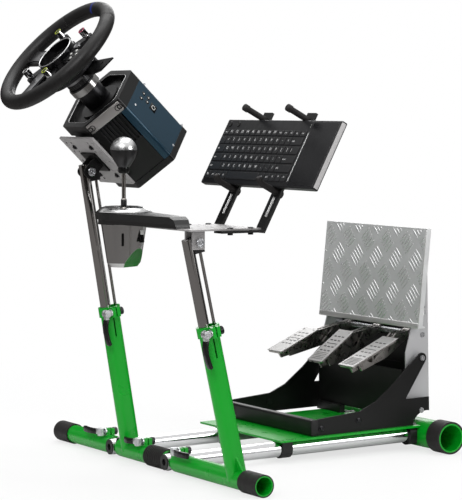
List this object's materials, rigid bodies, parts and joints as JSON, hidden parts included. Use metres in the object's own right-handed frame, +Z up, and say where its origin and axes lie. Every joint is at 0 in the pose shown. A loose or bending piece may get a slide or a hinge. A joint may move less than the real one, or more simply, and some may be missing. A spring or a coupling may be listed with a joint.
{
  "type": "racing wheel stand",
  "caption": "Folding tube-frame stand carrying a racing wheel on its servo base, a gear shifter, a keyboard holder and a hanging pedal set.",
  "frame": {"origin": "on the floor, at the middle of the stand's footprint box", "axes": "+X to the driver's right, +Y forward from the driver to the pedals, +Z up"},
  "size_m": [0.905, 0.9048, 0.9294],
  "materials": {
    "chrome": "polished",
    "plug_plastic": "matte",
    "green_paint": "gloss powder coat",
    "rubber": "matte",
    "bolt_steel": "satin",
    "lever_plastic": "semi gloss",
    "black_paint": "satin",
    "brushed_metal": "brushed",
    "tread_metal": "raised tread pattern",
    "plate_metal": "light grey",
    "blue_panel": "satin dark blue",
    "black_metal": "black anodised",
    "leather": "perforated, stitched",
    "shifter_paint": "dark metallic",
    "keyboard_plastic": "matte"
  },
  "bodies": {
    "floor_frame": {"chrome_tubes": "chrome", "cross_tubes": "chrome", "tube_plugs": "plug_plastic", "rear_tube": "green_paint", "rear_caps": "rubber", "tube_bushings": "plug_plastic", "pedal_plate": "green_paint", "plate_clips": "plug_plastic", "left_sleeve": "green_paint", "left_foot_cap": "rubber", "left_clamp_bolt": "bolt_steel", "pedal_brackets": "black_paint", "pedal_front_bar": "black_paint", "pedal_sides": "brushed_metal", "tread_plate": "tread_metal", "pedal_guard": "black_paint", "pedal_axle": "bolt_steel"},
    "left_clamp_lever": {"left_lever": "lever_plastic"},
    "clutch": {"clutch_pedal": "brushed_metal"},
    "brake": {"brake_pedal": "brushed_metal"},
    "throttle": {"throttle_pedal": "brushed_metal"},
    "main_column": {"main_post": "green_paint", "ribbed_foot_cap": "rubber", "main_clamp_bolts": "bolt_steel"},
    "fold_clamp_lever": {"fold_lever": "lever_plastic"},
    "main_collar_lever": {"main_post_lever": "lever_plastic"},
    "main_slider": {"main_inner_tube": "chrome", "main_head": "plug_plastic"},
    "wheel_table": {"plate_hinge": "black_paint", "wheel_plate": "plate_metal", "base_bezel": "black_paint", "base_heat_sink": "black_paint", "base_side_panels": "blue_panel", "base_rear_frame": "black_paint", "base_front_bar": "brushed_metal"},
    "steering_wheel": {"quick_release": "black_metal", "wheel_hub": "black_metal", "wheel_rim": "leather", "wheel_knobs": "chrome"},
    "left_paddle": {"paddle_left": "black_metal"},
    "right_paddle": {"paddle_right": "black_metal"},
    "module_column": {"module_post": "green_paint", "module_foot_cap": "rubber", "module_clamp_bolts": "bolt_steel"},
    "module_clamp_lever": {"module_sleeve_lever": "lever_plastic"},
    "module_collar_lever": {"module_post_lever": "lever_plastic"},
    "module_slider": {"module_inner_tube": "chrome", "tray_head": "plug_plastic"},
    "tray_table": {"tray_plate": "plate_metal", "shifter_housing": "shifter_paint", "shifter_gate": "brushed_metal", "keyboard_arms": "black_paint", "keyboard_pegs": "plug_plastic", "keyboard": "keyboard_plastic"},
    "shift_cradle": {"shift_gimbal": "bolt_steel"},
    "shift_stick": {"shift_lever": "brushed_metal"}
  },
  "joints": [
    {"name": "main_column_fold", "type": "hinge", "parent": "floor_frame", "child": "main_column", "pos_m": [-0.0775, -0.18459, 0.0215], "axis": [-1, 0, 0], "range_deg": [-5, 20]},
    {"name": "main_column_height", "type": "slide", "parent": "main_column", "child": "main_slider", "axis": [0, -0.165, 0.9863], "range_m": [-0.1, 0]},
    {"name": "wheel_table_tilt", "type": "hinge", "parent": "main_slider", "child": "wheel_table", "pos_m": [-0.1395, -0.28209, 0.59021], "axis": [1, 0, 0], "range_deg": [-20, 15]},
    {"name": "wheel_turn", "type": "hinge", "parent": "wheel_table", "child": "steering_wheel", "pos_m": [-0.1395, -0.3478, 0.8216], "axis": [0, -0.7193, 0.6947], "range_deg": [-450, 450]},
    {"name": "left_paddle_pull", "type": "hinge", "parent": "steering_wheel", "child": "left_paddle", "pos_m": [-0.1735, -0.29362, 0.79708], "axis": [0, 0.6947, 0.7193], "range_deg": [0, 6], "stiffness_Nm_per_rad": 2, "springref_deg": -5.73},
    {"name": "right_paddle_pull", "type": "hinge", "parent": "steering_wheel", "child": "right_paddle", "pos_m": [-0.1055, -0.29362, 0.79708], "axis": [0, -0.6947, -0.7193], "range_deg": [0, 6], "stiffness_Nm_per_rad": 2, "springref_deg": -5.73},
    {"name": "module_column_fold", "type": "hinge", "parent": "floor_frame", "child": "module_column", "pos_m": [-0.0775, -0.18459, 0.0215], "axis": [-1, 0, 0], "range_deg": [-5, 20]},
    {"name": "module_column_height", "type": "slide", "parent": "module_column", "child": "module_slider", "axis": [0, -0.2164, 0.9763], "range_m": [-0.1, 0]},
    {"name": "tray_tilt", "type": "hinge", "parent": "module_slider", "child": "tray_table", "pos_m": [0.2845, -0.27662, 0.47022], "axis": [1, 0, 0], "range_deg": [-10, 12]},
    {"name": "shift_sideways", "type": "hinge", "parent": "tray_table", "child": "shift_cradle", "pos_m": [0.0325, -0.29059, 0.45722], "axis": [0, 1, 0], "range_deg": [-6, 6], "stiffness_Nm_per_rad": 2},
    {"name": "shift_fore_and_aft", "type": "hinge", "parent": "shift_cradle", "child": "shift_stick", "pos_m": [0.0325, -0.29059, 0.45722], "axis": [-1, 0, 0], "range_deg": [-8, 8]},
    {"name": "clutch_travel", "type": "hinge", "parent": "floor_frame", "child": "clutch", "pos_m": [-0.0775, 0.41599, 0.24099], "axis": [1, 0, 0], "range_deg": [0, 20], "stiffness_Nm_per_rad": 15, "springref_deg": -11.46},
    {"name": "brake_travel", "type": "hinge", "parent": "floor_frame", "child": "brake", "pos_m": [-0.0775, 0.41599, 0.24099], "axis": [1, 0, 0], "range_deg": [0, 12], "stiffness_Nm_per_rad": 40, "springref_deg": -5.73},
    {"name": "throttle_travel", "type": "hinge", "parent": "floor_frame", "child": "throttle", "pos_m": [-0.0775, 0.41599, 0.24099], "axis": [1, 0, 0], "range_deg": [0, 16], "stiffness_Nm_per_rad": 12, "springref_deg": -11.46},
    {"name": "left_clamp_release", "type": "hinge", "parent": "floor_frame", "child": "left_clamp_lever", "pos_m": [-0.2345, -0.20389, 0.047], "axis": [0, 0, 1], "range_deg": [0, 80]},
    {"name": "fold_clamp_release", "type": "hinge", "parent": "main_column", "child": "fold_clamp_lever", "pos_m": [-0.0725, -0.20389, 0.047], "axis": [0, 0, 1], "range_deg": [0, 80]},
    {"name": "main_collar_release", "type": "hinge", "parent": "main_column", "child": "main_collar_lever", "pos_m": [-0.1157, -0.25149, 0.30434], "axis": [-1, 0, 0], "range_deg": [0, 80]},
    {"name": "module_clamp_release", "type": "hinge", "parent": "module_column", "child": "module_clamp_lever", "pos_m": [0.0745, -0.20389, 0.047], "axis": [0, 0, -1], "range_deg": [0, 80]},
    {"name": "module_collar_release", "type": "hinge", "parent": "module_column", "child": "module_collar_lever", "pos_m": [0.3083, -0.2662, 0.30045], "axis": [-1, 0, 0], "range_deg": [0, 80]}
  ]
}
